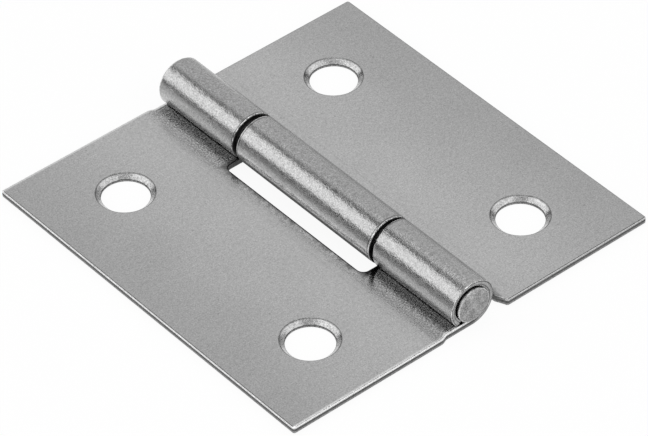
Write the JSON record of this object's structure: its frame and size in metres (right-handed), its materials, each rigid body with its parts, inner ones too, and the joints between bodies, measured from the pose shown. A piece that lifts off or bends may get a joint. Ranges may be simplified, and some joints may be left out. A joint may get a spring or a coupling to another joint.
{
  "type": "butt hinge",
  "caption": "Square sheet-steel butt hinge with rolled knuckles, a pin riveted at its ends and countersunk screw holes in both leaves.",
  "frame": {"origin": "on the flat backs of the open leaves, straight below the middle of the pin", "axes": "+X across the leaves towards the one with the centre knuckle, +Y along the pin, +Z out of the backs towards the countersunk side"},
  "size_m": [0.0502, 0.05, 0.0059],
  "materials": {
    "zinc_plated_steel": "satin"
  },
  "bodies": {
    "fixed_leaf": {"outer_knuckle_leaf": "zinc_plated_steel", "hinge_pin": "zinc_plated_steel"},
    "swinging_leaf": {"centre_knuckle_leaf": "zinc_plated_steel"}
  },
  "joints": [
    {"name": "leaf_swing", "type": "hinge", "parent": "fixed_leaf", "child": "swinging_leaf", "pos_m": [0, 0, 0.00295], "axis": [0, -1, 0], "range_deg": [-103, 188]}
  ]
}
